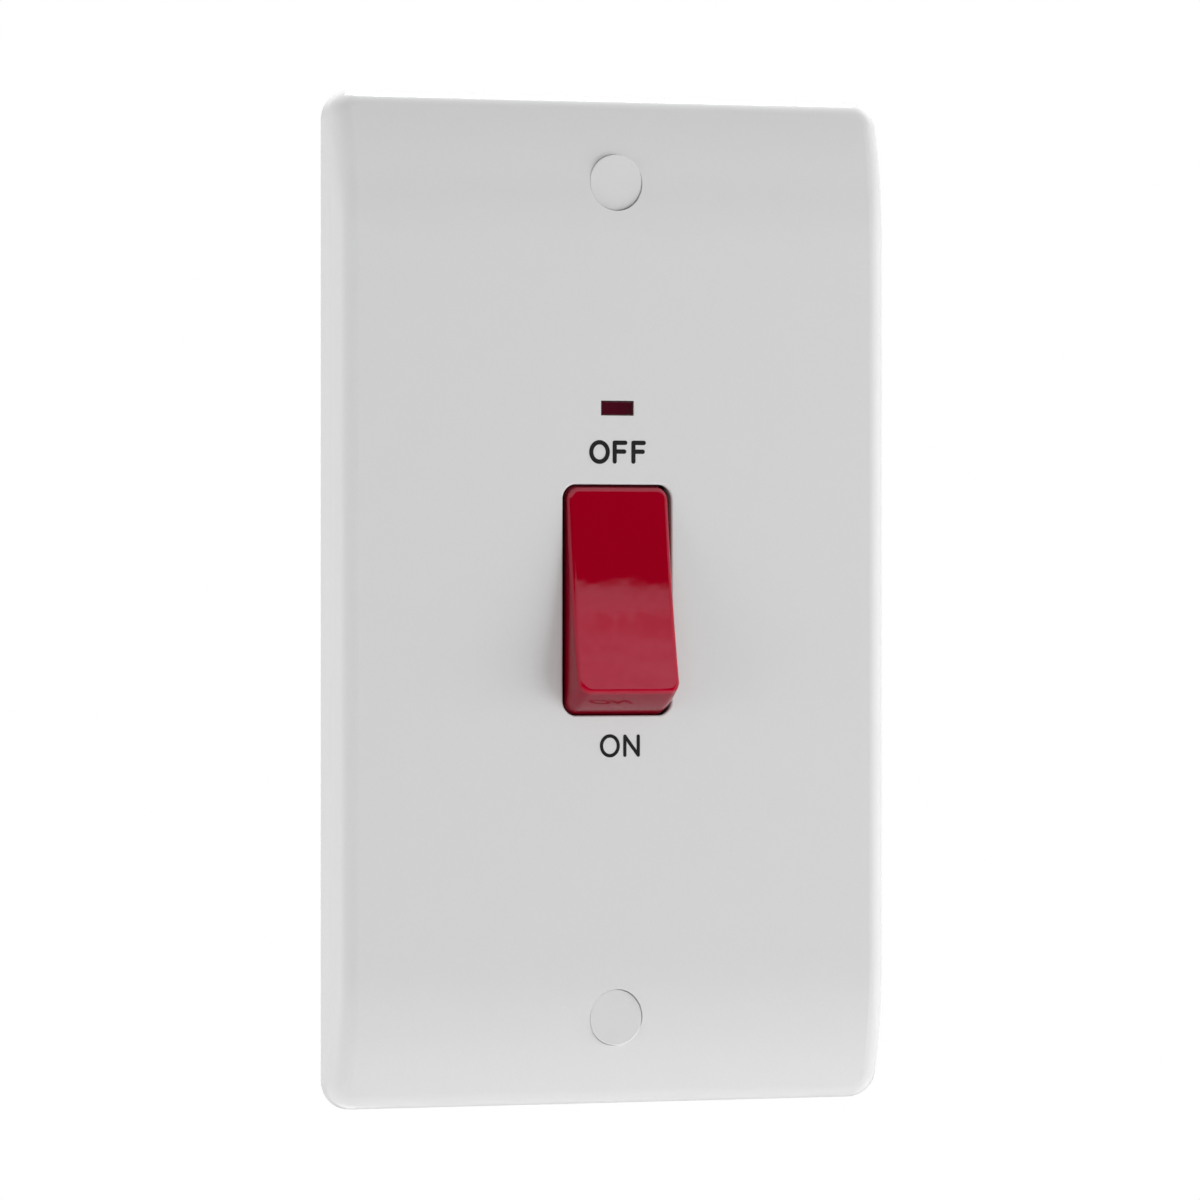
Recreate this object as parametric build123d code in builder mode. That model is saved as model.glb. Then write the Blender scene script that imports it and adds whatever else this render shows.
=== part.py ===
from build123d import *
from math import cos, radians, sin, sqrt
import os

os.makedirs("parts", exist_ok=True)

# Double pole isolating switch on a tall two-gang plate, in millimetres.
# X is to the right as the user sees it, Z is up, and Y runs from the face back into the wall.
# The origin is the middle of the plate on the wall plane, Y = 0, so the face is at negative Y.

# How far an added boss is rooted in its wall, and how far a cutting shape runs past what it cuts
root = 0.5
overrun = 1.0

# Front plate
plate_width = 86.0
plate_height = 146.0
plate_depth = 7.0
plate_corner = 4.2
side_draft = 2.0
edge_round = 3.1
skin = 2.5
rim_wall = 2.4
inner_corner = 2.2
crown_reach = 20.0
crown_radius = 55.0

# Fixing holes, their countersunk seats and the push-in caps
fixing_inset = 12.7
fixing_hole = 4.2
fixing_boss = 13.0
fixing_web = 3.0
cap_diameter = 8.1
cap_gap = 0.05
cap_sink = 0.05
cap_disc = 1.0
cap_skirt = 1.0
cap_skirt_wall = 0.8
cap_chamfer = 0.12
rib_thickness = 1.4
rib_set_back = 1.2

# Rocker, its pivot and its travel between the two stops
pivot_y = -1.0
half_tilt = 9.5
rocker_width = 16.4
rocker_end_radius = 17.3
rocker_draft = 2.0
rocker_front = 8.87
rocker_sag = 0.52
rocker_wall = 1.5
rocker_skirt = 1.5
rocker_corner = 1.8
rocker_edge_round = 0.75
trunnion_radius = 1.6
trunnion_length = 2.2
trunnion_end_gap = 0.5
ear_radius = 2.8
running_gap = 0.05
aperture_side_gap = 0.25
aperture_end_gap = 0.3
aperture_corner = 2.0
aperture_rim = 0.3
aperture_overrun = 0.5

# Plungers, their guide bosses and springs
pole_offset = 4.2
plunger_radius = 1.5
plunger_reach = 13.0
plunger_root = 1.0
plunger_bore_gap = 0.1
spigot_radius = 0.65
spigot_length = 2.0
boss_wall = 1.1
boss_reach = 9.0
spring_coil_radius = 1.05
spring_wire = 0.44
spring_turns = 5
wire_sides = 6
spring_end_gap = 0.05

# See-saw contact bars on their knife ridges
bar_bend = 10.0
bar_thickness = 1.2
bar_width = 5.0
bar_arm = 9.6
ridge_radius = 0.5
notch_gap = 0.1
bar_plunger_gap = 0.1
tip_radius = 1.5
tip_thickness = 0.8
tip_position = 8.0
contact_gap = 0.05
fixed_tip_thickness = 0.9

# Brass strips on the base floor
strip_thickness = 1.2
strip_side = 4.0
ridge_foot = 1.6
stop_radius = 1.0
stop_position = 7.5
supply_foot_top = 3.0
load_foot_bottom = 5.5
strip_run = 13.0
tab_width = 6.0
tab_front = 8.0

# Terminal blocks and their clamp screws
terminal_width = 10.0
terminal_depth = 13.0
terminal_length = 12.0
terminal_inner = 17.4
cable_bore = 6.4
bore_set_back = 4.2
clamp_radius = 2.1
clamp_gap = 0.05
clamp_length = 6.7
clamp_slot_width = 0.8
clamp_slot_depth = 1.0
clamp_inset = 3.0
clamp_rise = 0.1
clamp_chamfer = 0.3
block_edge = 0.6

# Base moulding
wing_ear = 3.0
base_wing_height = 34.0
pocket_wall = 3.0
cable_mouth = 3.1
base_corner = 2.5
base_floor = 3.2
base_edge = 0.8
chamber_gap = 0.5
chamber_end_gap = 0.7
chamber_depth = 5.3
cheek = 2.2
pole_barrier = 1.6
strip_end_gap = 0.2
fit_gap = 0.1
driver_hole = 2.6
base_screw_inset = 3.8
base_screw_z = 10.0
base_screw_radius = 1.4
base_screw_head = 2.7
base_screw_head_height = 2.0
base_screw_chamfer = 0.5
base_screw_cross = 3.4
base_screw_bite = 4.2
head_seat_y = 3.0
screw_hole_gap = 0.2
plate_boss_radius = 2.8
plate_boss_gap = 0.2
pillar_radius = 2.0

# Neon window, lamp and its series resistor
neon_z = 27.7
window_width = 4.9
window_height = 1.95
window_gap = 0.1
lens_flange_width = 8.0
lens_flange_height = 5.0
lens_flange = 1.0
lens_flange_corner = 0.8
lens_edge = 0.12
neon_pocket_width = 14.0
neon_pocket_height = 8.0
neon_pocket_depth = 13.5
neon_pocket_drop = 0.7
lamp_radius = 2.3
lamp_length = 8.4
lamp_glass = 0.4
electrode_radius = 0.4
electrode_length = 5.0
lead_radius = 0.3
lead_spread = 0.9
lead_back = 2.5
lead_bend = 1.2
resistor_radius = 1.1
resistor_length = 4.2
resistor_start = 2.2
resistor_chamfer = 0.35
lead_slot = 1.2

# Earth terminal on the rear of the plate
earth_z = -42.0
earth_width = 9.0
earth_height = 8.0
earth_bore = 4.2
earth_bore_y = 3.6
earth_rear_y = 9.5
earth_screw_radius = 1.7
earth_screw_length = 4.4
cradle_wall = 1.4
cradle_width = 5.4
cradle_rear_y = 1.0

# Worked out from the sizes above
inner_face = -(plate_depth - skin)
crown_centre_y = crown_radius - plate_depth
crown_start = plate_height / 2 - crown_reach
fixing_z = plate_height / 2 - fixing_inset
bar_apex = plunger_reach + (plunger_radius + bar_plunger_gap + bar_thickness) / cos(radians(bar_bend))
bar_y = pivot_y + bar_apex
closed_tip_y = bar_y + tip_thickness
strip_front = closed_tip_y + contact_gap + fixed_tip_thickness
floor_y = strip_front + strip_thickness
base_rear = floor_y + base_floor
chamber_side = rocker_width / 2 + chamber_gap
terminal_x = chamber_side + cheek + fit_gap + terminal_width / 2
chamber_half_height = rocker_end_radius + chamber_end_gap
contact_chamber_half_height = strip_run + strip_end_gap
terminal_row_width = 2 * (terminal_x + terminal_width / 2 + pocket_wall)
base_width = terminal_row_width + 2 * wing_ear
base_height = 2 * (terminal_inner + terminal_length + cable_mouth)
base_screw_x = base_width / 2 - base_screw_inset
terminal_rear = floor_y
terminal_front = terminal_rear - terminal_depth
bore_y = terminal_front + bore_set_back
clamp_front_y = bore_y + cable_bore / 2 + clamp_rise
half_aperture = rocker_width / 2 + aperture_side_gap
aperture_end_radius = rocker_end_radius + aperture_end_gap
aperture_back = inner_face - pivot_y + aperture_overrun
plunger_bore = plunger_radius + plunger_bore_gap
lamp_front_y = inner_face + lens_flange + fit_gap
lamp_rear_y = lamp_front_y + lamp_length
lead_y = lamp_rear_y + lead_back


def depth_plane(y):
    """A plane parallel to the wall at depth y, with X and Z as its own axes. A push of -d goes d back."""
    return Plane.XZ.offset(-y)


def tilted_plane(y, angle):
    """A plane square to X through depth y, whose own x axis points back, turned about X by angle."""
    a = radians(angle)
    return Plane(origin=(0, y, 0), x_dir=(0, cos(a), sin(a)), z_dir=(1, 0, 0))


rocker_plane = tilted_plane(pivot_y, -half_tilt)
bar_plane = tilted_plane(bar_y, bar_bend)
rocker_axis = rocker_plane.x_dir
bar_back = tilted_plane(bar_y, 2 * bar_bend).x_dir


def rocker_station(x, reach):
    """A plane square to the rocker's own depth axis, centred at x and at a reach behind the pivot."""
    centre = Vector(x, pivot_y, 0) + rocker_axis * reach
    return Plane(origin=centre, x_dir=(1, 0, 0), z_dir=rocker_axis)


def crown_profile(inset, reach):
    """Side view of the plate: flat in the middle, curving back to the wall near both ends."""
    front = inset - plate_depth
    radius = crown_radius - inset
    rise = reach - crown_start
    end_y = crown_centre_y - sqrt(radius**2 - rise**2)
    half_angle = 0.5 * rise / radius
    mid = (crown_centre_y - radius * cos(half_angle), crown_start + radius * sin(half_angle))
    with BuildSketch(Plane.YZ) as side:
        with BuildLine():
            Line((front, -crown_start), (front, crown_start))
            ThreePointArc((front, crown_start), mid, (end_y, reach))
            Line((end_y, reach), (overrun, reach))
            Line((overrun, reach), (overrun, -reach))
            Line((overrun, -reach), (end_y, -reach))
            ThreePointArc((end_y, -reach), (mid[0], -mid[1]), (front, -crown_start))
        make_face()
    return side.sketch


def face_y(z):
    """Depth of the plate's face at height z, on the curve."""
    return crown_centre_y - sqrt(crown_radius**2 - max(abs(z) - crown_start, 0) ** 2)


# The hollow behind the face follows the same curve, one skin further back
with BuildPart() as hollow:
    with BuildSketch(depth_plane(0)):
        RectangleRounded(plate_width - 2 * rim_wall, plate_height - 2 * rim_wall, inner_corner)
    extrude(amount=plate_depth)
    extrude(crown_profile(skin, plate_height / 2), amount=plate_width, both=True, mode=Mode.INTERSECT)

# The rocker's opening: a drum about the pivot, so that the gap stays even as the rocker turns
with BuildPart() as aperture:
    with BuildSketch(tilted_plane(pivot_y, 0)):
        Circle(aperture_end_radius)
        with Locations(((aperture_back - aperture_end_radius) / 2, 0)):
            Rectangle(aperture_end_radius + aperture_back, 2 * aperture_end_radius, mode=Mode.INTERSECT)
    extrude(amount=half_aperture, both=True)
    fillet(aperture.edges().filter_by(GeomType.CIRCLE), aperture_corner)

# Bosses that carry the fixing screws, and ribs from them to the rim, kept inside the curved skin
with BuildPart() as ribs:
    with BuildSketch(depth_plane(0)):
        with Locations((0, fixing_z), (0, -fixing_z)):
            Circle(fixing_boss / 2)
    extrude(amount=plate_depth)
    with BuildSketch(depth_plane(-rib_set_back)):
        for side in (1, -1):
            with Locations((0, side * fixing_z)):
                Rectangle(plate_width - rim_wall, rib_thickness)
            with Locations((0, side * (fixing_z + plate_height / 2) / 2)):
                Rectangle(rib_thickness, plate_height / 2 - fixing_z - rim_wall)
    extrude(amount=plate_depth)
    extrude(crown_profile(skin / 2, plate_height / 2), amount=plate_width, both=True, mode=Mode.INTERSECT)

with BuildPart() as front_plate:
    with BuildSketch(depth_plane(0)):
        RectangleRounded(plate_width, plate_height, plate_corner)
    extrude(amount=plate_depth, taper=side_draft)
    extrude(crown_profile(0, plate_height / 2 + overrun), amount=plate_width, both=True, mode=Mode.INTERSECT)
    # The face's outer edges all round, without the two seams where the flat meets the curves
    front_of_rim = 0.75 * face_y(plate_height / 2)
    rim = [
        e
        for e in front_plate.edges()
        if e.center().Y < front_of_rim
        and (abs(e.center().X) > overrun or abs(e.center().Z) > crown_start + overrun)
    ]
    fillet(rim, edge_round)
    add(hollow.part, mode=Mode.SUBTRACT)
    add(ribs.part)
    # Pillars and bosses that hold the base moulding and its terminal blocks
    with BuildSketch(depth_plane(inner_face - root)) as pillars:
        with GridLocations(2 * terminal_x, 2 * terminal_inner + terminal_length, 2, 2):
            Circle(pillar_radius)
    extrude(amount=-(terminal_front - inner_face + root - fit_gap))
    with BuildSketch(depth_plane(inner_face - root)) as screw_bosses:
        with GridLocations(2 * base_screw_x, 2 * base_screw_z, 2, 2):
            Circle(plate_boss_radius)
    extrude(amount=inner_face - root)
    with BuildSketch(depth_plane(0)) as screw_pilots:
        with GridLocations(2 * base_screw_x, 2 * base_screw_z, 2, 2):
            Circle(base_screw_radius + clamp_gap)
    extrude(amount=base_screw_bite + fit_gap, mode=Mode.SUBTRACT)
    # Tongues that close the pivot slots from the front
    with BuildSketch(depth_plane(inner_face - root)) as tongues:
        for side in (1, -1):
            with Locations((side * (chamber_side + cheek / 2), 0)):
                Rectangle(cheek - fit_gap, 2 * trunnion_radius)
    extrude(amount=-(pivot_y - trunnion_radius - running_gap - inner_face + root))
    # Cradle for the earth terminal
    with BuildSketch(depth_plane(inner_face - root)) as cradle:
        with Locations((0, earth_z)):
            Rectangle(cradle_width, earth_height + 2 * (cradle_wall + fit_gap))
    extrude(amount=-(cradle_rear_y - inner_face + root))
    with BuildSketch(depth_plane(cradle_rear_y)) as cradle_seat:
        with Locations((0, earth_z)):
            Rectangle(earth_width, earth_height + 2 * fit_gap)
    extrude(amount=cradle_rear_y - inner_face - cradle_wall, mode=Mode.SUBTRACT)
    # Openings in the face
    add(aperture.part, mode=Mode.SUBTRACT)
    rim = front_plate.edges().filter_by(
        lambda e: e.center().Y < -0.8 * plate_depth
        and abs(e.center().X) < half_aperture + aperture_rim
        and abs(e.center().Z) < aperture_end_radius
    )
    fillet(rim, aperture_rim)
    with BuildSketch(depth_plane(0)) as screw_holes:
        with Locations((0, fixing_z), (0, -fixing_z)):
            Circle(fixing_hole / 2)
    extrude(amount=plate_depth, mode=Mode.SUBTRACT)
    with BuildSketch(depth_plane(-fixing_web)) as head_seats:
        with Locations((0, fixing_z), (0, -fixing_z)):
            Circle(cap_diameter / 2 - cap_skirt_wall)
    extrude(amount=plate_depth, mode=Mode.SUBTRACT)
    with BuildSketch(depth_plane(face_y(fixing_z) + cap_sink + cap_disc + cap_skirt)) as cap_seats:
        with Locations((0, fixing_z), (0, -fixing_z)):
            Circle(cap_diameter / 2 + cap_gap)
    extrude(amount=plate_depth, mode=Mode.SUBTRACT)
    with BuildSketch(depth_plane(0)) as window:
        with Locations((0, neon_z)):
            Rectangle(window_width + 2 * window_gap, window_height + 2 * window_gap)
    extrude(amount=plate_depth + overrun, mode=Mode.SUBTRACT)

front_plate.part.label = "front_plate"
export_step(front_plate.part, "parts/front_plate.step")


def make_cap(name, z):
    """A flat push-in cap, with a short skirt that stands on a ledge in the plate."""
    front = face_y(z) + cap_sink
    with BuildPart() as cap:
        with BuildSketch(depth_plane(front)):
            with Locations((0, z)):
                Circle(cap_diameter / 2)
        extrude(amount=-(cap_disc + cap_skirt))
        with BuildSketch(depth_plane(front + cap_disc)):
            with Locations((0, z)):
                Circle(cap_diameter / 2 - cap_skirt_wall)
        extrude(amount=-cap_skirt, mode=Mode.SUBTRACT)
        chamfer(cap.faces().sort_by(Axis.Y)[0].edges(), cap_chamfer)
    cap.part.label = name
    export_step(cap.part, f"parts/{name}.step")


make_cap("screw_cap_top", fixing_z)
make_cap("screw_cap_bottom", -fixing_z)


def rocker_outline(front, sag, radius, skirt):
    """Side view of the rocker about its pivot: a dished front, and ends that are arcs about the pivot."""
    top = sqrt(radius**2 - front**2)
    foot = sqrt(radius**2 - skirt**2)
    with BuildSketch(rocker_plane) as outline:
        with BuildLine():
            ThreePointArc((-front, top), (sag - front, 0), (-front, -top))
            ThreePointArc((-front, -top), (0, -radius), (skirt, -foot))
            Line((skirt, -foot), (skirt, foot))
            ThreePointArc((skirt, foot), (0, radius), (-front, top))
        make_face()
    return outline.sketch


with BuildPart() as rocker:
    extrude(
        rocker_outline(rocker_front, rocker_sag, rocker_end_radius, rocker_skirt),
        amount=rocker_width / 2,
        both=True,
    )
    # The sides lean in towards the front, as they must to leave the mould
    with BuildSketch(rocker_station(0, rocker_skirt)):
        Rectangle(rocker_width, 3 * rocker_end_radius)
    extrude(amount=-rocker_end_radius, taper=rocker_draft, mode=Mode.INTERSECT)
    side_faces = rocker.faces().sort_by(Axis.X)
    corners = side_faces[0].edges() + side_faces[-1].edges()
    fillet(corners.filter_by(lambda e: abs(e.center().Z) > 0.8 * rocker_end_radius), rocker_corner)
    front_edges = rocker.faces().sort_by(Axis.Y)[0].edges()
    fillet(front_edges, rocker_edge_round)
    extrude(
        rocker_outline(
            rocker_front - rocker_wall,
            rocker_sag,
            rocker_end_radius - rocker_wall,
            rocker_skirt + overrun,
        ),
        amount=rocker_width / 2 - rocker_wall,
        both=True,
        mode=Mode.SUBTRACT,
    )
    for side in (1, -1):
        # Ear on the side wall, with the trunnion that the rocker turns on
        ear_face = rocker_plane.offset(side * (rocker_width / 2 - rocker_wall))
        with BuildSketch(ear_face):
            Circle(ear_radius)
        extrude(amount=side * rocker_wall)
        with BuildSketch(rocker_plane.offset(side * rocker_width / 2)):
            Circle(trunnion_radius)
        extrude(amount=side * trunnion_length)
        # Guide boss for one plunger, bored almost to the front wall
        start = rocker_front - rocker_sag - rocker_wall
        with BuildSketch(rocker_station(side * pole_offset, -start - root)):
            Circle(plunger_bore + boss_wall)
        extrude(amount=start + root + boss_reach)
        with BuildSketch(rocker_station(side * pole_offset, -start)):
            Circle(plunger_bore)
        extrude(amount=start + boss_reach, mode=Mode.SUBTRACT)

rocker.part.label = "rocker"
export_step(rocker.part, "parts/rocker.step")

spring_seat = -(rocker_front - rocker_sag - rocker_wall) + spring_end_gap
spring_height = plunger_root - spring_end_gap - spring_seat - spring_wire


def make_plunger(name, x):
    """A round-ended pin, with a spigot at its root that centres the spring."""
    side_view = Plane(
        origin=(x, pivot_y, 0), x_dir=(1, 0, 0), z_dir=Vector(1, 0, 0).cross(rocker_axis)
    )
    with BuildPart() as plunger:
        with BuildSketch(side_view):
            with BuildLine():
                Polyline(
                    (0, plunger_root - spigot_length),
                    (spigot_radius, plunger_root - spigot_length),
                    (spigot_radius, plunger_root),
                    (plunger_radius, plunger_root),
                    (plunger_radius, plunger_reach),
                )
                RadiusArc(
                    (plunger_radius, plunger_reach), (0, plunger_reach + plunger_radius), -plunger_radius
                )
                Line((0, plunger_reach + plunger_radius), (0, plunger_root - spigot_length))
            make_face()
        revolve(axis=Axis((x, pivot_y, 0), rocker_axis))
    plunger.part.label = name
    export_step(plunger.part, f"parts/{name}.step")


def make_spring(name, x):
    """The coil that presses one plunger out of its boss."""
    start = Vector(x, pivot_y, 0) + rocker_axis * (spring_seat + spring_wire / 2)
    with BuildPart() as spring:
        with BuildLine() as coil:
            Helix(
                pitch=spring_height / spring_turns,
                height=spring_height,
                radius=spring_coil_radius,
                center=start,
                direction=rocker_axis,
            )
        with BuildSketch(Plane(origin=coil.line @ 0, z_dir=coil.line % 0)):
            RegularPolygon(spring_wire / 2, wire_sides)
        sweep(is_frenet=True)
    spring.part.label = name
    export_step(spring.part, f"parts/{name}.step")


def make_contact_bar(name, x):
    """A see-saw bar, bent to a shallow V, with a notch that sits on the supply strip's ridge."""
    bend = radians(bar_bend)
    arm_end = Vector(-bar_arm * sin(bend), bar_arm * cos(bend))
    step = Vector(-bar_thickness * cos(bend), -bar_thickness * sin(bend))
    front_end = arm_end + step
    with BuildPart() as bar:
        with BuildSketch(bar_plane.offset(x)):
            with BuildLine():
                Polyline(
                    (0, 0),
                    (arm_end.X, arm_end.Y),
                    (front_end.X, front_end.Y),
                    (-bar_thickness / cos(bend), 0),
                    (front_end.X, -front_end.Y),
                    (arm_end.X, -arm_end.Y),
                    close=True,
                )
            make_face()
            Circle(ridge_radius + notch_gap, mode=Mode.SUBTRACT)
        extrude(amount=bar_width / 2, both=True)
    bar.part.label = name
    export_step(bar.part, f"parts/{name}.step")


def make_moving_tip(name, x):
    """The silver button on the back of the bar's upper arm."""
    bend = radians(bar_bend)
    along = Vector(-sin(bend), cos(bend)) * tip_position
    centre = bar_plane.offset(x).from_local_coords(along)
    with BuildPart() as tip:
        with BuildSketch(Plane(origin=centre, x_dir=(1, 0, 0), z_dir=bar_back)):
            Circle(tip_radius)
        extrude(amount=tip_thickness)
    tip.part.label = name
    export_step(tip.part, f"parts/{name}.step")


def make_fixed_tip(name, x):
    """The silver button on the load strip that the moving one closes on."""
    with BuildPart() as tip:
        with BuildSketch(depth_plane(strip_front)):
            with Locations((x, tip_position)):
                Circle(tip_radius)
        extrude(amount=fixed_tip_thickness)
    tip.part.label = name
    export_step(tip.part, f"parts/{name}.step")


def make_strip(name, side, end):
    """A flat brass strip from under the contacts, across to the terminal row and up its inner end."""
    x = side * pole_offset
    foot_start = load_foot_bottom if end > 0 else -supply_foot_top
    with BuildPart() as strip:
        with BuildSketch(depth_plane(strip_front)):
            with Locations((x, end * (foot_start + strip_run) / 2)):
                Rectangle(bar_width, strip_run - foot_start)
            reach = terminal_x + tab_width / 2 - pole_offset
            with Locations((side * (pole_offset + reach / 2), end * (strip_run - strip_side / 2))):
                Rectangle(reach, strip_side)
            tail = terminal_inner - strip_run + strip_side
            with Locations((side * terminal_x, end * (strip_run - strip_side + tail / 2))):
                Rectangle(tab_width, tail)
        extrude(amount=-strip_thickness)
        with BuildSketch(depth_plane(tab_front)):
            with Locations((side * terminal_x, end * (terminal_inner - strip_thickness / 2))):
                Rectangle(tab_width, strip_thickness)
        extrude(amount=-(floor_y - tab_front))
        if end < 0:
            # Ridge that carries the see-saw bar, and the stop for its lower arm
            with BuildSketch(tilted_plane(0, 0).offset(x)):
                with BuildLine():
                    Line((bar_y, ridge_radius), (strip_front, ridge_foot / 2))
                    Line((strip_front, ridge_foot / 2), (strip_front, -ridge_foot / 2))
                    Line((strip_front, -ridge_foot / 2), (bar_y, -ridge_radius))
                    ThreePointArc((bar_y, -ridge_radius), (bar_y - ridge_radius, 0), (bar_y, ridge_radius))
                make_face()
            extrude(amount=bar_width / 2, both=True)
            with BuildSketch(depth_plane(strip_front)):
                with Locations((x, -stop_position)):
                    Circle(stop_radius)
            extrude(amount=strip_front - bar_y - contact_gap)
    strip.part.label = name
    export_step(strip.part, f"parts/{name}.step")


def make_terminal(name, side, end):
    """A brass block with a cable bore along Z and two tapped holes for the clamp screws."""
    x = side * terminal_x
    mid = end * (terminal_inner + terminal_length / 2)
    with BuildPart() as block:
        with BuildSketch(depth_plane(terminal_front)):
            with Locations((x, mid)):
                Rectangle(terminal_width, terminal_length)
        extrude(amount=-terminal_depth)
        chamfer(block.edges().filter_by(Axis.Z), block_edge)
        with BuildSketch(Plane.XY.offset(end * terminal_inner)):
            with Locations((x, bore_y)):
                Circle(cable_bore / 2)
        extrude(amount=end * terminal_length, mode=Mode.SUBTRACT)
        with BuildSketch(depth_plane(terminal_rear)):
            with Locations((x, mid)):
                with GridLocations(0, terminal_length - 2 * clamp_inset, 1, 2):
                    Circle(clamp_radius + clamp_gap)
        extrude(amount=terminal_rear - bore_y, mode=Mode.SUBTRACT)
    block.part.label = name
    export_step(block.part, f"parts/{name}.step")


def make_clamp_screw(name, x, z, front, radius, length):
    """A headless slotted screw that runs forward through its block to clamp the conductor."""
    with BuildPart() as screw:
        with BuildSketch(depth_plane(front)):
            with Locations((x, z)):
                Circle(radius)
        extrude(amount=-length)
        chamfer(screw.faces().sort_by(Axis.Y)[0].edges(), clamp_chamfer)
        with BuildSketch(depth_plane(front + length)):
            with Locations((x, z)):
                Rectangle(2 * radius, clamp_slot_width)
        extrude(amount=clamp_slot_depth, mode=Mode.SUBTRACT)
    screw.part.label = name
    export_step(screw.part, f"parts/{name}.step")


poles = {"line": -1, "neutral": 1}
ends = {"supply": -1, "load": 1}

for pole, side in poles.items():
    make_plunger(f"plunger_{pole}", side * pole_offset)
    make_spring(f"spring_{pole}", side * pole_offset)
    make_contact_bar(f"contact_bar_{pole}", side * pole_offset)
    make_moving_tip(f"moving_tip_{pole}", side * pole_offset)
    make_fixed_tip(f"fixed_tip_{pole}", side * pole_offset)
    for way, end in ends.items():
        make_strip(f"{way}_strip_{pole}", side, end)
        make_terminal(f"{way}_terminal_{pole}", side, end)
        for place, offset in (("inner", clamp_inset), ("outer", terminal_length - clamp_inset)):
            make_clamp_screw(
                f"{way}_screw_{pole}_{place}",
                side * terminal_x,
                end * (terminal_inner + offset),
                clamp_front_y,
                clamp_radius,
                clamp_length,
            )

with BuildPart() as mechanism_base:
    with BuildSketch(depth_plane(inner_face)):
        RectangleRounded(base_width, base_wing_height, base_corner)
        RectangleRounded(terminal_row_width, base_height, base_corner)
    extrude(amount=-(base_rear - inner_face))
    chamfer(mechanism_base.faces().sort_by(Axis.Y)[-1].edges(), base_edge)
    # Chamber for the rocker, then one deeper chamber for each pole with a barrier between
    with BuildSketch(depth_plane(inner_face)) as rocker_chamber:
        Rectangle(2 * chamber_side, 2 * chamber_half_height)
    extrude(amount=-(chamber_depth + pivot_y - inner_face), mode=Mode.SUBTRACT)
    with BuildSketch(depth_plane(inner_face)) as pole_chambers:
        for side in (1, -1):
            width = chamber_side - pole_barrier / 2
            with Locations((side * (pole_barrier / 2 + width / 2), 0)):
                Rectangle(width, 2 * contact_chamber_half_height)
    extrude(amount=-(floor_y - inner_face), mode=Mode.SUBTRACT)
    # Slots that the trunnions drop into
    for side in (1, -1):
        with BuildSketch(tilted_plane(pivot_y, 0).offset(side * chamber_side)):
            Circle(trunnion_radius + running_gap)
            with Locations(((inner_face - pivot_y) / 2, 0)):
                Rectangle(abs(inner_face - pivot_y), 2 * (trunnion_radius + running_gap))
        extrude(amount=side * (trunnion_length + trunnion_end_gap), mode=Mode.SUBTRACT)
    # Pockets for the terminal blocks, open at the ends for the cables, with the strips' channels
    with BuildSketch(depth_plane(inner_face)) as pockets:
        for side in (1, -1):
            for end in (1, -1):
                length = base_height / 2 - terminal_inner + overrun
                with Locations((side * terminal_x, end * (terminal_inner + length / 2))):
                    Rectangle(terminal_width + 2 * fit_gap, length)
                tail = terminal_inner - strip_run + strip_side
                with Locations((side * terminal_x, end * (strip_run - strip_side + tail / 2))):
                    Rectangle(tab_width + 2 * fit_gap, tail + 2 * fit_gap)
                reach = terminal_x - chamber_side
                with Locations((side * (chamber_side + reach / 2), end * (strip_run - strip_side / 2))):
                    Rectangle(reach, strip_side + 2 * fit_gap)
    extrude(amount=-(floor_y - inner_face), mode=Mode.SUBTRACT)
    # Holes behind the clamp screws for the screwdriver
    with BuildSketch(depth_plane(base_rear)) as driver_holes:
        for end in (1, -1):
            for offset in (clamp_inset, terminal_length - clamp_inset):
                with Locations((0, end * (terminal_inner + offset))):
                    with GridLocations(2 * terminal_x, 0, 2, 1):
                        Circle(driver_hole)
    extrude(amount=base_floor, mode=Mode.SUBTRACT)
    # Pocket for the neon lamp, and slots for its leads
    with BuildSketch(depth_plane(inner_face)) as neon_pocket:
        with Locations((0, neon_z - neon_pocket_drop)):
            Rectangle(neon_pocket_width, neon_pocket_height)
    extrude(amount=-neon_pocket_depth, mode=Mode.SUBTRACT)
    with BuildSketch(depth_plane(inner_face)) as lead_slots:
        with Locations((0, neon_z)):
            Rectangle(2 * terminal_x, lead_slot)
    extrude(amount=-(lead_y + lead_slot / 2 - inner_face), mode=Mode.SUBTRACT)
    # Holes for the screws that hold the base to the plate, seated deep from the rear
    with BuildSketch(depth_plane(base_rear)) as base_screw_holes:
        with GridLocations(2 * base_screw_x, 2 * base_screw_z, 2, 2):
            Circle(base_screw_radius + screw_hole_gap)
    extrude(amount=base_rear - inner_face, mode=Mode.SUBTRACT)
    with BuildSketch(depth_plane(base_rear)) as head_wells:
        with GridLocations(2 * base_screw_x, 2 * base_screw_z, 2, 2):
            Circle(base_screw_head + screw_hole_gap)
    extrude(amount=base_rear - head_seat_y, mode=Mode.SUBTRACT)
    with BuildSketch(depth_plane(plate_boss_gap)) as boss_wells:
        with GridLocations(2 * base_screw_x, 2 * base_screw_z, 2, 2):
            Circle(plate_boss_radius + plate_boss_gap)
    extrude(amount=plate_boss_gap - inner_face, mode=Mode.SUBTRACT)

mechanism_base.part.label = "mechanism_base"
export_step(mechanism_base.part, "parts/mechanism_base.step")

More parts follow.
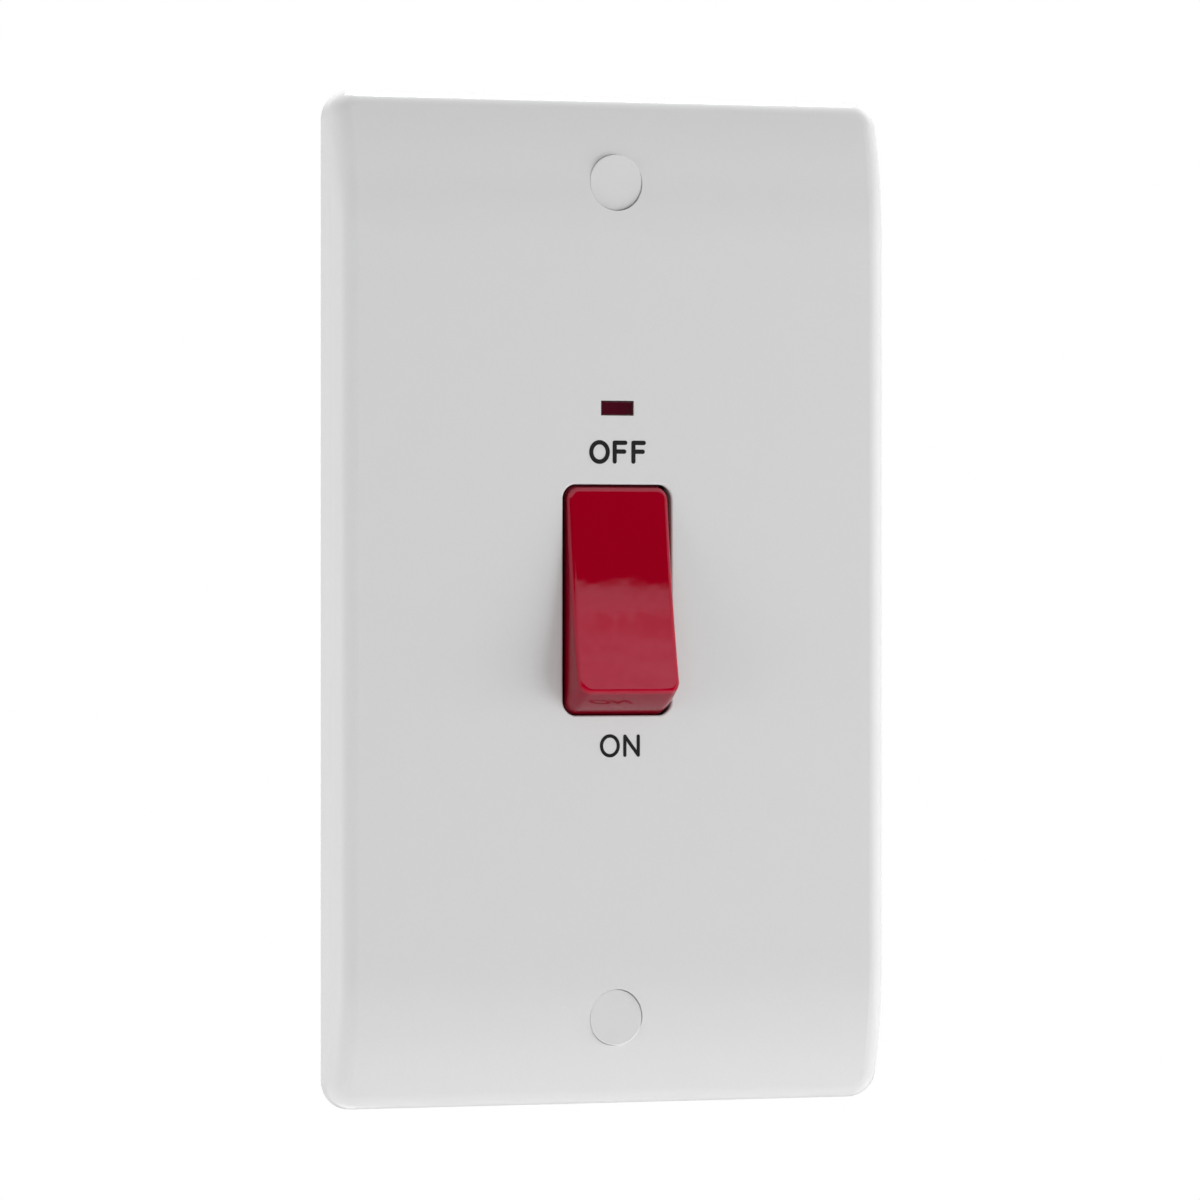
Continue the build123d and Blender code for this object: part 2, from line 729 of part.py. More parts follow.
with BuildPart() as base_screws:
    with BuildSketch(depth_plane(head_seat_y)):
        with GridLocations(2 * base_screw_x, 2 * base_screw_z, 2, 2):
            Circle(base_screw_radius)
    extrude(amount=head_seat_y + base_screw_bite)
    with BuildSketch(depth_plane(head_seat_y)):
        with GridLocations(2 * base_screw_x, 2 * base_screw_z, 2, 2):
            Circle(base_screw_head)
    extrude(amount=-base_screw_head_height)
    chamfer(base_screws.faces().sort_by(Axis.Y)[-4:].edges(), base_screw_chamfer)
    with BuildSketch(depth_plane(head_seat_y + base_screw_head_height)):
        with GridLocations(2 * base_screw_x, 2 * base_screw_z, 2, 2):
            Rectangle(base_screw_cross, clamp_slot_width)
            Rectangle(clamp_slot_width, base_screw_cross)
    extrude(amount=clamp_slot_depth, mode=Mode.SUBTRACT)

base_screws.part.label = "base_screws"
export_step(base_screws.part, "parts/base_screws.step")

with BuildPart() as neon_lens:
    with BuildSketch(depth_plane(inner_face)):
        with Locations((0, neon_z)):
            Rectangle(window_width, window_height)
    extrude(amount=skin)
    with BuildSketch(depth_plane(inner_face)):
        with Locations((0, neon_z)):
            RectangleRounded(lens_flange_width, lens_flange_height, lens_flange_corner)
    extrude(amount=-lens_flange)
    fillet(neon_lens.faces().sort_by(Axis.Y)[0].edges(), lens_edge)

neon_lens.part.label = "neon_lens"
export_step(neon_lens.part, "parts/neon_lens.step")

lamp_view = Plane(origin=(0, 0, neon_z), x_dir=(1, 0, 0), z_dir=(0, 0, 1))
lamp_shoulder = lamp_front_y + lamp_radius

with BuildPart() as neon_lamp:
    with BuildSketch(lamp_view):
        with BuildLine():
            Line((0, lamp_rear_y), (lamp_radius, lamp_rear_y))
            Line((lamp_radius, lamp_rear_y), (lamp_radius, lamp_shoulder))
            RadiusArc((lamp_radius, lamp_shoulder), (0, lamp_front_y), lamp_radius)
            Line((0, lamp_front_y), (0, lamp_rear_y))
        make_face()
        with BuildLine():
            inner = lamp_radius - lamp_glass
            Line((0, lamp_rear_y - lamp_glass), (inner, lamp_rear_y - lamp_glass))
            Line((inner, lamp_rear_y - lamp_glass), (inner, lamp_shoulder))
            RadiusArc((inner, lamp_shoulder), (0, lamp_front_y + lamp_glass), inner)
            Line((0, lamp_front_y + lamp_glass), (0, lamp_rear_y - lamp_glass))
        make_face(mode=Mode.SUBTRACT)
    revolve(axis=Axis((0, 0, neon_z), (0, 1, 0)))

neon_lamp.part.label = "neon_lamp"
export_step(neon_lamp.part, "parts/neon_lamp.step")

with BuildPart() as neon_electrodes:
    with BuildSketch(depth_plane(lamp_rear_y - lamp_glass)):
        with Locations((0, neon_z)):
            with GridLocations(2 * lead_spread, 0, 2, 1):
                Circle(electrode_radius)
    extrude(amount=electrode_length)

neon_electrodes.part.label = "neon_electrodes"
export_step(neon_electrodes.part, "parts/neon_electrodes.step")

with BuildPart() as neon_resistor:
    with BuildSketch(Plane.YZ.offset(resistor_start)):
        with Locations((lead_y, neon_z)):
            Circle(resistor_radius)
    extrude(amount=resistor_length)
    chamfer(neon_resistor.edges(), resistor_chamfer)

neon_resistor.part.label = "neon_resistor"
export_step(neon_resistor.part, "parts/neon_resistor.step")

terminal_side = terminal_x - terminal_width / 2

with BuildPart() as neon_leads:
    for side, stop in ((1, resistor_start), (-1, terminal_side)):
        with BuildLine() as route:
            FilletPolyline(
                (side * lead_spread, lamp_rear_y, neon_z),
                (side * lead_spread, lead_y, neon_z),
                (side * stop, lead_y, neon_z),
                radius=lead_bend,
            )
        with BuildSketch(depth_plane(lamp_rear_y)):
            with Locations((side * lead_spread, neon_z)):
                RegularPolygon(lead_radius, wire_sides)
        sweep(path=route.line)
    with BuildSketch(Plane.YZ.offset(resistor_start + resistor_length)):
        with Locations((lead_y, neon_z)):
            RegularPolygon(lead_radius, wire_sides)
    extrude(amount=terminal_side - resistor_start - resistor_length)

neon_leads.part.label = "neon_leads"
export_step(neon_leads.part, "parts/neon_leads.step")

earth_front_y = inner_face + cradle_wall

with BuildPart() as earth_terminal:
    with BuildSketch(depth_plane(earth_front_y)):
        with Locations((0, earth_z)):
            Rectangle(earth_width, earth_height)
    extrude(amount=-(earth_rear_y - earth_front_y))
    chamfer(earth_terminal.edges().filter_by(Axis.X), block_edge)
    with BuildSketch(Plane.YZ.offset(-earth_width / 2)):
        with Locations((earth_bore_y, earth_z)):
            Circle(earth_bore / 2)
    extrude(amount=earth_width, mode=Mode.SUBTRACT)
    with BuildSketch(depth_plane(earth_rear_y)):
        with Locations((0, earth_z)):
            Circle(earth_screw_radius + clamp_gap)
    extrude(amount=earth_rear_y - earth_bore_y, mode=Mode.SUBTRACT)

earth_terminal.part.label = "earth_terminal"
export_step(earth_terminal.part, "parts/earth_terminal.step")

make_clamp_screw(
    "earth_screw",
    0,
    earth_z,
    earth_bore_y + earth_bore / 2 + clamp_rise,
    earth_screw_radius,
    earth_screw_length,
)
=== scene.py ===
# %% [markdown]
# # A double pole switch, dressed for the camera
# The object is a wall switch for a cooker or a shower: a tall white plate, a red rocker, a small
# neon window, two screw caps, and a mechanism of brass and grey moulding behind the plate.
# Its solids already exist at their real size in the frame, so this lesson only gives them
# surfaces, copies the springs onto the rocker, adds the printed words, and sets up the light and
# the camera.
# One unit is one metre here.

# %% Load the frame
from math import cos, pi, radians, sin

import bmesh
import bpy
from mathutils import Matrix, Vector


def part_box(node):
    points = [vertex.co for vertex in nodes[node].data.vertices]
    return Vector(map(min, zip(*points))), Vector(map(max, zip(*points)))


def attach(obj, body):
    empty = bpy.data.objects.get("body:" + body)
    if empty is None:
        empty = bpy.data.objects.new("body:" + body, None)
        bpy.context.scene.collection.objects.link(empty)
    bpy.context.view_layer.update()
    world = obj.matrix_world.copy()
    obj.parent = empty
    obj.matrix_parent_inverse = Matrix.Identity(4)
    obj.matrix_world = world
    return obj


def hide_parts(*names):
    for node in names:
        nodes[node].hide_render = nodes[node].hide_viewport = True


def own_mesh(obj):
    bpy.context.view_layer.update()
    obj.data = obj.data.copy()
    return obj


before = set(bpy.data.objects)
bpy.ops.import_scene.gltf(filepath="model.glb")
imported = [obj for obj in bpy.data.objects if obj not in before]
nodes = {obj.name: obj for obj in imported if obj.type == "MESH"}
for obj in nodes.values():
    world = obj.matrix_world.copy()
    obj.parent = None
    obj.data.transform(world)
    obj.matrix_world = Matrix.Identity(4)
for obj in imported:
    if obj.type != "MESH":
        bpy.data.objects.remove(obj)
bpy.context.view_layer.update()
MM = 0.001
print("nodes in the frame:", len(nodes))

# %% [markdown]
# ## Reading places from the frame
# The words are printed on the face of the plate, the rocker's colour changes over its height, and
# the floor lies below everything. The face, the height and the level of the floor are read from
# the solids' own boxes, so they can't part from the solids. The face of the plate is its lowest
# Y, because Y runs back into the wall.

# %% Places that the later cells use
def corners(name):
    """The lowest and the highest corner of a node's box."""
    return tuple(Vector(corner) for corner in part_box(name))


plate_low, plate_high = corners("front_plate")
rocker_low, rocker_high = corners("rocker")
face_y = plate_low.y
plate_height = plate_high.z - plate_low.z
print("face at", round(face_y / MM, 2), "mm, plate", round(plate_height / MM, 1), "mm tall")

# %% [markdown]
# ## A starting point for every finish
# Each finish is a small graph of nodes. The shader's plain numbers, such as how rough or metallic
# it is, are set on its own sockets. Only what really varies over the surface goes through nodes.
# The graphs read the object's own coordinates, which are metres here, so a noise scale of 1000
# gives features about 1 mm across.

# %% Start a finish, and put it on nodes
def new_finish(name, color, roughness, metallic=0.0, ior=1.46):
    """A fresh material, with its shader's plain values set, and a coordinate to build from."""
    material = bpy.data.materials.new(name)
    material.use_nodes = True
    tree = material.node_tree
    shader = tree.nodes["Principled BSDF"]
    shader.inputs["Base Color"].default_value = (*color, 1.0)
    shader.inputs["Roughness"].default_value = roughness
    shader.inputs["Metallic"].default_value = metallic
    shader.inputs["IOR"].default_value = ior
    place = tree.nodes.new("ShaderNodeTexCoord")
    return material, tree, shader, place.outputs["Object"]


def dress(material, *names):
    """Puts one finish on CAD nodes, by their material slots."""
    for name in names:
        for slot in nodes[name].material_slots:
            slot.material = material
    print(f"{material.name}: {len(names)} nodes")


slots = sum(len(node.material_slots) for node in nodes.values())
print("slots to dress:", slots, "on", len(nodes), "nodes")

# %% [markdown]
# ## Values that vary
# Real surfaces are never quite even, so each finish gets a little colour drift, a little gloss
# drift, and bump. All of them start from a noise value between 0 and 1, which mostly stays near
# its middle. One helper turns a value into a colour, one maps it onto a range of numbers, and one
# raises the surface by it.

# %% Noise, colour, range and bump
NOISE_LOW, NOISE_HIGH = 0.3, 0.7


def noise(tree, place, scale, detail=3.0, roughness=0.55):
    """A noise value with features about one over scale metres across."""
    node = tree.nodes.new("ShaderNodeTexNoise")
    node.inputs["Scale"].default_value = scale
    node.inputs["Detail"].default_value = detail
    node.inputs["Roughness"].default_value = roughness
    tree.links.new(place, node.inputs["Vector"])
    return node.outputs["Fac"]


def ramp(tree, value, stops):
    """Turns a value into a colour, through stops given as (position, (red, green, blue))."""
    node = tree.nodes.new("ShaderNodeValToRGB")
    elements = node.color_ramp.elements
    while len(elements) < len(stops):
        elements.new(0.5)
    for element, (position, color) in zip(elements, stops):
        element.position = position
        element.color = (*color, 1.0)
    tree.links.new(value, node.inputs["Fac"])
    return node.outputs["Color"]


def graded(tree, value, start, end, low=0.0, high=1.0, soft=False):
    """Maps start to end onto low to high, in a straight line or with soft ends."""
    node = tree.nodes.new("ShaderNodeMapRange")
    if soft:
        node.interpolation_type = "SMOOTHSTEP"
    node.inputs["From Min"].default_value = start
    node.inputs["From Max"].default_value = end
    node.inputs["To Min"].default_value = low
    node.inputs["To Max"].default_value = high
    tree.links.new(value, node.inputs["Value"])
    return node.outputs["Result"]


def spread(tree, value, low, high):
    """Maps a noise's middle range onto low to high."""
    return graded(tree, value, NOISE_LOW, NOISE_HIGH, low, high)


def bump(tree, shader, value, distance, under=None):
    """Raises the surface by value times distance, on top of an earlier bump if there is one."""
    node = tree.nodes.new("ShaderNodeBump")
    node.inputs["Strength"].default_value = 1.0
    node.inputs["Distance"].default_value = distance
    tree.links.new(value, node.inputs["Height"])
    if under is not None:
        tree.links.new(under, node.inputs["Normal"])
    tree.links.new(node.outputs["Normal"], shader.inputs["Normal"])
    return node.outputs["Normal"]


def drift(color, amount):
    """Two near neighbours of a colour, a little darker and a little lighter."""
    darker = tuple(c * (1 - amount) for c in color)
    lighter = tuple(min(1.0, c * (1 + amount)) for c in color)
    return darker, lighter


print("a mid grey that drifts by 1 %:", *drift((0.5, 0.5, 0.5), 0.01))

# %% [markdown]
# ## White moulded plastic
# The plate is pressed from a hard white thermoset in a polished steel mould. It comes out glossy
# but not like glass: the skin has a very faint orange peel, and the pigment is even to within a
# percent. A single colour would look like paper, so a fine noise grains the colour, a slower one
# drifts the gloss, and two bumps of different size make the peel. The caps come out a hair
# smoother.

# %% White finishes
PLATE_WHITE = (0.72, 0.72, 0.72)
CAP_WHITE = (0.725, 0.725, 0.725)
PEEL_SCALE = 420.0
GRAIN_SCALE = 2600.0
GLOSS_SCALE = 160.0
FINE_PEEL_SHARE = 0.12


def moulded(name, color, roughness, peel, color_drift=0.006, gloss_drift=0.01, ior=1.46):
    """A moulded plastic: grained colour and drifting gloss, over a two-sized orange peel."""
    material, tree, shader, place = new_finish(name, color, roughness, ior=ior)
    pigment = noise(tree, place, GRAIN_SCALE, detail=2.0)
    low, high = drift(color, color_drift)
    grained = ramp(tree, pigment, [(0.35, low), (0.65, high)])
    tree.links.new(grained, shader.inputs["Base Color"])
    gloss = noise(tree, place, GLOSS_SCALE, detail=3.0)
    gloss = spread(tree, gloss, roughness - gloss_drift, roughness + gloss_drift)
    tree.links.new(gloss, shader.inputs["Roughness"])
    coarse = bump(tree, shader, noise(tree, place, PEEL_SCALE, detail=1.0), peel)
    fine = noise(tree, place, GRAIN_SCALE, detail=1.0)
    bump(tree, shader, fine, peel * FINE_PEEL_SHARE, under=coarse)
    return material


white_plate = moulded("white_plate", PLATE_WHITE, 0.20, 0.002 * MM)
white_cap = moulded("white_cap", CAP_WHITE, 0.17, 0.002 * MM)
dress(white_plate, "front_plate")
dress(white_cap, "screw_cap_top", "screw_cap_bottom")

# %% [markdown]
# ## Measuring inside a graph
# The next finishes change from one place of a part to another, so their graphs have to measure.
# One coordinate can be split off, a point can be measured along any direction, and two values can
# be added or multiplied. Each of these is one node.

# %% Axes, directions and arithmetic
def axis(tree, place, name):
    """One coordinate out of three."""
    parts = tree.nodes.new("ShaderNodeSeparateXYZ")
    tree.links.new(place, parts.inputs["Vector"])
    return parts.outputs[name]


def millimetres_along(tree, place, direction):
    """How far a point lies along a direction."""
    node = tree.nodes.new("ShaderNodeVectorMath")
    node.operation = "DOT_PRODUCT"
    node.inputs[1].default_value = Vector(direction) / MM
    tree.links.new(place, node.inputs[0])
    return node.outputs["Value"]


def arithmetic(tree, operation, first, second):
    """One step of arithmetic on numbers or on other nodes' values."""
    node = tree.nodes.new("ShaderNodeMath")
    node.operation = operation
    for socket, value in zip(node.inputs, (first, second)):
        if isinstance(value, (int, float)):
            socket.default_value = value
        else:
            tree.links.new(value, socket)
    return node.outputs["Value"]


print("rocker from", round(rocker_low.z / MM, 2), "to", round(rocker_high.z / MM, 2), "mm in Z")

# %% [markdown]
# ## Red rocker
# The rocker is moulded in a clear-toned red nylon blend and polished, so it shows the room more
# than the plate does. The gloss is what tells its dished shape: the lower half mirrors the bright
# ceiling, and the upper half mirrors the dark side of the room. The line between them wavers,
# because a moulded face is never quite even, so long shallow waves lie over the skin. The lower
# half is painted a slightly lighter red, which is painted light. The depth of each point is
# measured outward along the front's own tilt, less the rise of the dish towards its two ends: what
# lies deeper than the front, from the rounded edge on down the sides, is painted a deeper red,
# which is painted shade.

# %% Rocker finish
ROCKER_RED = (0.34, 0.0001, 0.012)
# Painted light: the lighter red of the lower half.
ROCKER_RED_PAINTED_LIGHT = (0.41, 0.0001, 0.018)
# Painted shade: the deeper red of the sides and the end.
ROCKER_RED_PAINTED_SHADE = (0.20, 0.0001, 0.009)
LOW_END, HIGH_START = 0.42, 0.56
FRONT_SHEEN = (1.0, 0.80, 0.97)
FRONT_TILT = radians(9.5)
DISH_RISE = 0.0024
SIDE_DEPTH, FRONT_DEPTH = 8.65, 9.25
WAVE_SCALE = 160.0
WAVE_DEPTH = 0.02


def rocker_color(tree, place):
    """Painted light makes the red lighter below; painted shade deepens it behind the front."""
    height = graded(tree, axis(tree, place, "Z"), rocker_low.z, rocker_high.z)
    # Painted light: the red grows lighter towards the bottom.
    front = ramp(tree, height, [(LOW_END, ROCKER_RED_PAINTED_LIGHT), (HIGH_START, ROCKER_RED)])
    outward = millimetres_along(tree, place, (0.0, -cos(FRONT_TILT), sin(FRONT_TILT)))
    upward = millimetres_along(tree, place, (0.0, sin(FRONT_TILT), cos(FRONT_TILT)))
    squared = arithmetic(tree, "MULTIPLY", upward, upward)
    rise = arithmetic(tree, "MULTIPLY", squared, DISH_RISE)
    depth = arithmetic(tree, "SUBTRACT", outward, rise)
    # Painted shade: a deeper red wherever the surface lies behind the front.
    mix = tree.nodes.new("ShaderNodeMix")
    mix.data_type = "RGBA"
    mix.inputs["A"].default_value = (*ROCKER_RED_PAINTED_SHADE, 1.0)
    tree.links.new(graded(tree, depth, SIDE_DEPTH, FRONT_DEPTH), mix.inputs["Factor"])
    tree.links.new(front, mix.inputs["B"])
    return mix.outputs["Result"]


def polished_red():
    """The moulded finish, polished, with the rocker's reds and long shallow waves."""
    material = moulded("rocker_red", ROCKER_RED, 0.03, 0.001 * MM, gloss_drift=0.006, ior=1.5)
    tree = material.node_tree
    shader = tree.nodes["Principled BSDF"]
    shader.inputs["Specular Tint"].default_value = (*FRONT_SHEEN, 1.0)
    place = tree.nodes["Texture Coordinate"].outputs["Object"]
    tree.links.new(rocker_color(tree, place), shader.inputs["Base Color"])
    skin = shader.inputs["Normal"].links[0].from_socket
    waves = noise(tree, place, WAVE_SCALE, detail=2.0)
    bump(tree, shader, waves, WAVE_DEPTH * MM, under=skin)
    return material


dress(polished_red(), "rocker")

# %% [markdown]
# ## The neon window
# A small ruby lens, dark while the lamp is off. Light goes in, meets the dark pocket behind, and
# little comes back, so it reads as a very dark red. A part of the light passes through, and the
# rest is coloured near the surface. The red is painted a little lighter at the left and duller to
# the right, which is painted shade, where the eye looks past the lamp into the empty end of the
# pocket.

# %% Lens finish
LENS_RUBY = (0.08, 0.0042, 0.0145)
# Painted shade: the duller red at the right end of the lens.
LENS_PAINTED_SHADE = (0.045, 0.0075, 0.0135)


def ruby_lens():
    """A dark red that lets some light through, with painted shade dulling it along X."""
    material, tree, shader, place = new_finish("ruby_lens", LENS_RUBY, 0.1, ior=1.49)
    shader.inputs["Transmission Weight"].default_value = 0.25
    low, high = corners("neon_lens")
    across = graded(tree, axis(tree, place, "X"), low.x, high.x)
    # Painted shade: lighter at the left, duller to the right.
    stops = [(0.15, drift(LENS_RUBY, 0.12)[1]), (0.55, LENS_RUBY), (0.9, LENS_PAINTED_SHADE)]
    tree.links.new(ramp(tree, across, stops), shader.inputs["Base Color"])
    gloss = noise(tree, place, 900.0)
    tree.links.new(spread(tree, gloss, 0.07, 0.14), shader.inputs["Roughness"])
    bump(tree, shader, noise(tree, place, 1100.0, detail=1.0), 0.002 * MM)
    return material


dress(ruby_lens(), "neon_lens")

# %% [markdown]
# ## Grey moulding of the base
# The base holds live brass against heat, so it is a filled thermoset: matt, faintly speckled by
# its mineral filler, and a shade warmer than the plate. A cell noise gives the specks, which a
# smooth noise can't, and a coarser bump gives the dull skin of an unpolished mould.

# %% Base finish
BASE_GREY = (0.56, 0.56, 0.53)
SPECK_SCALE = 1800.0


def filled_thermoset():
    """A matt grey with fine specks."""
    material, tree, shader, place = new_finish("grey_moulding", BASE_GREY, 0.46)
    specks = tree.nodes.new("ShaderNodeTexVoronoi")
    specks.inputs["Scale"].default_value = SPECK_SCALE
    tree.links.new(place, specks.inputs["Vector"])
    low, high = drift(BASE_GREY, 0.07)
    stops = [(0.0, low), (0.25, BASE_GREY), (0.9, high)]
    speckled = ramp(tree, specks.outputs["Distance"], stops)
    tree.links.new(speckled, shader.inputs["Base Color"])
    gloss = noise(tree, place, 240.0)
    tree.links.new(spread(tree, gloss, 0.40, 0.52), shader.inputs["Roughness"])
    bump(tree, shader, noise(tree, place, 1500.0, detail=2.0), 0.02 * MM)
    return material


dress(filled_thermoset(), "mechanism_base")

# %% [markdown]
# ## Metals
# Metal shows how it was made. Blocks are milled, so fine lines run one way. Strip is rolled, so
# long soft streaks follow its length. Screws are plated, so their colour drifts between zinc's
# grey and a faint straw tint. One function makes them all: a noise stretched along one direction
# gives the lines, a second slow noise gives tarnish, and the lines also move the roughness.

# %% How a metal is made
TARNISH_SCALE = 120.0


def stretched(tree, place, scale):
    """The coordinates scaled by three factors, so that a noise turns into grain or bands."""
    mapping = tree.nodes.new("ShaderNodeMapping")
    mapping.inputs["Scale"].default_value = scale
    tree.links.new(place, mapping.inputs["Vector"])
    return mapping.outputs["Vector"]


def metal(name, color, tarnish, roughness, grain, grain_depth):
    """A metal whose grain runs along the axis with the smallest factor, with drifting tarnish."""
    material, tree, shader, place = new_finish(name, color, roughness, metallic=1.0)
    lines = noise(tree, stretched(tree, place, grain), 1.0, detail=4.0, roughness=0.6)
    slow = noise(tree, place, TARNISH_SCALE, detail=4.0)
    stops = [(0.35, tarnish), (0.5, color), (0.7, drift(color, 0.08)[1])]
    tree.links.new(ramp(tree, slow, stops), shader.inputs["Base Color"])
    gloss = spread(tree, lines, roughness * 0.75, roughness * 1.3)
    tree.links.new(gloss, shader.inputs["Roughness"])
    bump(tree, shader, lines, grain_depth * MM)
    return material


print("tarnish patches are about", round(1 / TARNISH_SCALE / MM, 1), "mm across")

# %% [markdown]
# ## Which metal goes where
# The terminal blocks and the earth block are milled brass, the strips rolled brass, and the
# see-saw bars copper, which carries a heavy current and stays cool. Their contact tips are
# silver, which goes on conducting when it tarnishes. Screws are zinc plated steel, and the
# springs are bare dark steel.

# %% Metal finishes
BRASS, BRASS_DULL = (0.72, 0.50, 0.20), (0.48, 0.31, 0.12)
STRIP_BRASS = (0.70, 0.47, 0.19)
COPPER, COPPER_DULL = (0.76, 0.40, 0.24), (0.44, 0.20, 0.12)
SILVER, SILVER_DULL = (0.86, 0.85, 0.82), (0.60, 0.58, 0.52)
ZINC, ZINC_STRAW = (0.66, 0.67, 0.68), (0.56, 0.53, 0.44)
STEEL, STEEL_DARK = (0.42, 0.42, 0.43), (0.26, 0.25, 0.25)
NICKEL, NICKEL_DULL = (0.62, 0.58, 0.52), (0.42, 0.39, 0.34)
TIN, TIN_DULL = (0.72, 0.72, 0.72), (0.54, 0.54, 0.55)

milled_brass = metal("milled_brass", BRASS, BRASS_DULL, 0.28, (6000, 6000, 400), 0.004)
rolled_brass = metal("rolled_brass", STRIP_BRASS, BRASS_DULL, 0.33, (500, 5000, 5000), 0.003)
copper_bar = metal("copper_bar", COPPER, COPPER_DULL, 0.30, (4000, 4000, 500), 0.003)
silver_tip = metal("silver_tip", SILVER, SILVER_DULL, 0.22, (2500, 2500, 2500), 0.002)
zinc_plate = metal("zinc_plate", ZINC, ZINC_STRAW, 0.30, (900, 4000, 900), 0.003)
spring_wire = metal("spring_wire", STEEL, STEEL_DARK, 0.35, (3000, 3000, 3000), 0.002)
nickel_rod = metal("nickel_rod", NICKEL, NICKEL_DULL, 0.30, (3000, 400, 3000), 0.002)
tinned_wire = metal("tinned_wire", TIN, TIN_DULL, 0.26, (400, 3000, 3000), 0.002)

POLES = ("line", "neutral")
WAYS = ("supply", "load")
branches = [(way, pole) for way in WAYS for pole in POLES]
ends = ("inner", "outer")
clamp_screws = [f"{way}_screw_{pole}_{end}" for way, pole in branches for end in ends]
dress(milled_brass, *[f"{way}_terminal_{pole}" for way, pole in branches], "earth_terminal")
dress(rolled_brass, *[f"{way}_strip_{pole}" for way, pole in branches])
dress(copper_bar, *[f"contact_bar_{pole}" for pole in POLES])
dress(silver_tip, *[f"{kind}_tip_{pole}" for kind in ("moving", "fixed") for pole in POLES])
dress(zinc_plate, *clamp_screws, "earth_screw", "base_screws")
dress(spring_wire, *[f"spring_{pole}" for pole in POLES])
dress(nickel_rod, "neon_electrodes")
dress(tinned_wire, "neon_leads")

# %% [markdown]
# ## Plungers and lamp
# The plungers are natural nylon, a milky off-white that lets a little light in, so they get a
# touch of scattering below the surface. The lamp is thin clear glass, smoked a little on its
# inside, which a slow noise in its roughness shows.

# %% Plunger and lamp finishes
NATURAL_NYLON = (0.74, 0.72, 0.64)
CLEAR_GLASS = (0.96, 0.97, 0.97)


def natural_nylon():
    """The moulded finish, with a little light scattered below the surface."""
    material = moulded("natural_nylon", NATURAL_NYLON, 0.38, 0.005 * MM, color_drift=0.03)
    shader = material.node_tree.nodes["Principled BSDF"]
    shader.inputs["Subsurface Weight"].default_value = 0.2
    shader.inputs["Subsurface Scale"].default_value = 0.4 * MM
    return material


def lamp_glass():
    """Thin clear glass, not quite even."""
    material, tree, shader, place = new_finish("lamp_glass", CLEAR_GLASS, 0.03, ior=1.5)
    shader.inputs["Transmission Weight"].default_value = 0.95
    smoke = noise(tree, place, 300.0)
    tree.links.new(spread(tree, smoke, 0.02, 0.06), shader.inputs["Roughness"])
    bump(tree, shader, noise(tree, place, 500.0, detail=1.0), 0.004 * MM)
    return material


dress(natural_nylon(), *[f"plunger_{pole}" for pole in POLES])
dress(lamp_glass(), "neon_lamp")

# %% [markdown]
# ## The resistor
# A resistor is a lacquered tan body with painted bands, which tell its value. The bands are steps
# along X, cut by a colour ramp that doesn't blend between its stops, because paint has an edge.

# %% Resistor finish
TAN = (0.52, 0.38, 0.20)
BAND_BROWN = (0.12, 0.04, 0.015)
BAND_BLACK = (0.01, 0.01, 0.01)
BAND_YELLOW = (0.70, 0.50, 0.03)
BANDS = [
    (0.0, TAN), (0.2, BAND_BROWN), (0.3, TAN), (0.42, BAND_BLACK), (0.52, TAN),
    (0.64, BAND_YELLOW), (0.74, TAN),
]


def banded_resistor():
    """Tan lacquer with three painted bands."""
    material, tree, shader, place = new_finish("banded_resistor", TAN, 0.35)
    low, high = corners("neon_resistor")
    along = graded(tree, axis(tree, place, "X"), low.x, high.x)
    painted = ramp(tree, along, BANDS)
    painted.node.color_ramp.interpolation = "CONSTANT"
    tree.links.new(painted, shader.inputs["Base Color"])
    bump(tree, shader, noise(tree, place, 1200.0, detail=1.0), 0.01 * MM)
    return material


dress(banded_resistor(), "neon_resistor")

# %% [markdown]
# ## Spring copies that ride on the rocker
# When a plunger is pushed home, its spring shortens. The solids are rigid, so each spring's shape
# is copied into a piece of its own, which rides on the rocker. The copy keeps the spring's shape
# and doesn't shorten, and the solid spring is hidden.


def giving_spring(pole):
    """A copy of one spring that rides on the rocker, in place of the hidden solid spring."""
    solid = nodes[f"spring_{pole}"]
    data = solid.data.copy()
    data.materials.clear()
    data.materials.append(spring_wire)
    piece = bpy.data.objects.new(f"giving_spring_{pole}", data)
    piece.matrix_world = solid.matrix_world
    bpy.context.scene.collection.objects.link(piece)
    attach(piece, "rocker")
    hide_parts(solid.name)
    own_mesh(piece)


for pole in POLES:
    giving_spring(pole)

# %% [markdown]
# ## Printed words
# OFF stands above the rocker and ON below it. On the real plate they are pad-printed: thin black
# ink with an even stroke and round ends. A font would bring its own shapes, so each letter is
# drawn here from strokes, as a draughtsman does with a stencil pen. Each stroke becomes a thin
# slab that stands a few hundredths of a millimetre out of the plate, which is what ink does, and
# sinks a little into it so no gap shows. A straight stroke is a bar with half-round ends.

# %% Straight strokes of ink
INK_PROUD = 0.03
INK_LAYER = 0.004
INK_SUNK = 0.04
ROUND_STEPS = 10


def bar_outline(start, end, stroke):
    """The outline of a pen stroke from start to end: a bar with half-round ends."""
    along = (end - start).normalized()
    across = Vector((-along.y, along.x))
    points = []
    for centre, first in ((end, -pi / 2), (start, pi / 2)):
        for step in range(ROUND_STEPS + 1):
            a = first + pi * step / ROUND_STEPS
            points.append(centre + (along * cos(a) + across * sin(a)) * stroke / 2)
    return points


def slab(mesh, outline, layer):
    """A thin slab of ink from an outline in X and Z."""
    proud = INK_PROUD + INK_LAYER * layer
    front = [mesh.verts.new((p.x * MM, face_y - proud * MM, p.y * MM)) for p in outline]
    back = [mesh.verts.new((p.x * MM, face_y + INK_SUNK * MM, p.y * MM)) for p in outline]
    mesh.faces.new(front)
    mesh.faces.new(list(reversed(back)))
    for i in range(len(outline)):
        j = (i + 1) % len(outline)
        mesh.faces.new((front[j], front[i], back[i], back[j]))


